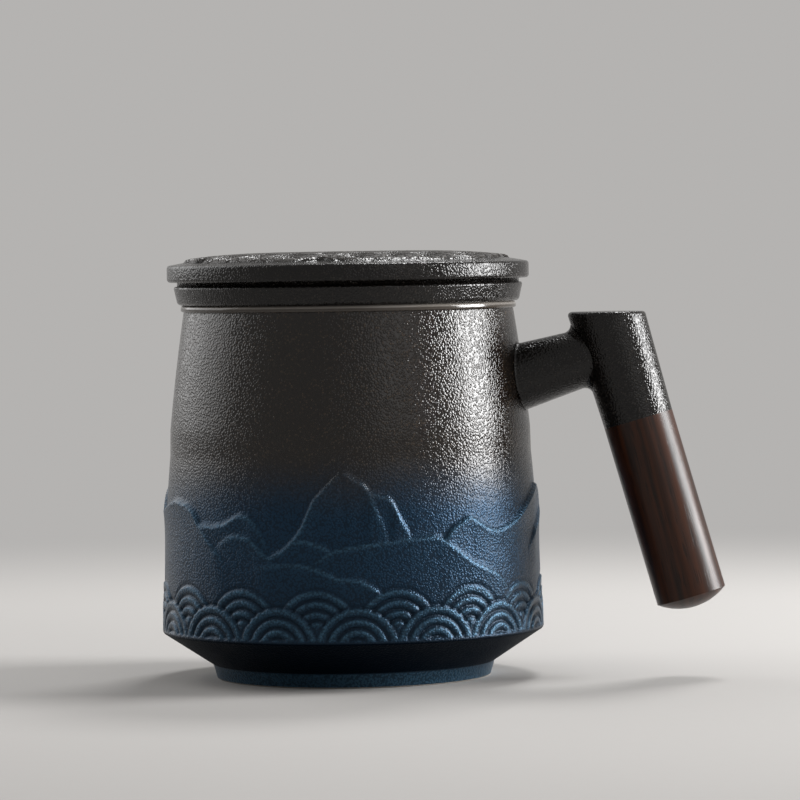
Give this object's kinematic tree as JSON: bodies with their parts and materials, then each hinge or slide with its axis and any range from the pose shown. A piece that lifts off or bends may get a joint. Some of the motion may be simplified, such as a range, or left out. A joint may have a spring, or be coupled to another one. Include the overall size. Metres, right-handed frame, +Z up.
{
  "type": "tea mug",
  "caption": "Lidded stoneware tea mug with a lift-out infuser, a chamfered foot, wave and hill relief on the wall, and a leaning wooden grip on a stoneware arm.",
  "frame": {"origin": "on the cup's axis, in the plane of the foot ring", "axes": "+Z up along the cup's axis, +X from the cup's axis towards the handle"},
  "size_m": [0.136, 0.092, 0.1026],
  "materials": {
    "blue_black_glaze": "pebbled satin glaze, dark bronze-black above running into deep blue below",
    "black_glaze": "pebbled semi-gloss black glaze",
    "dark_wood": "oiled dark wood with long grain",
    "stud_steel": "plain steel",
    "resin": "cured resin"
  },
  "bodies": {
    "cup": {"cup_body": "blue_black_glaze", "handle_arm": "black_glaze", "handle_socket": "black_glaze", "wood_grip": "dark_wood", "grip_stud": "stud_steel", "stud_resin": "resin"},
    "infuser": {"infuser_basket": "black_glaze"},
    "lid": {"lid": "black_glaze"}
  },
  "joints": [
    {"name": "infuser_lift", "type": "slide", "parent": "cup", "child": "infuser", "axis": [0, 0, 1], "range_m": [0, 0.075]},
    {"name": "lid_lift", "type": "slide", "parent": "infuser", "child": "lid", "axis": [0, 0, 1], "range_m": [0, 0.05]}
  ]
}
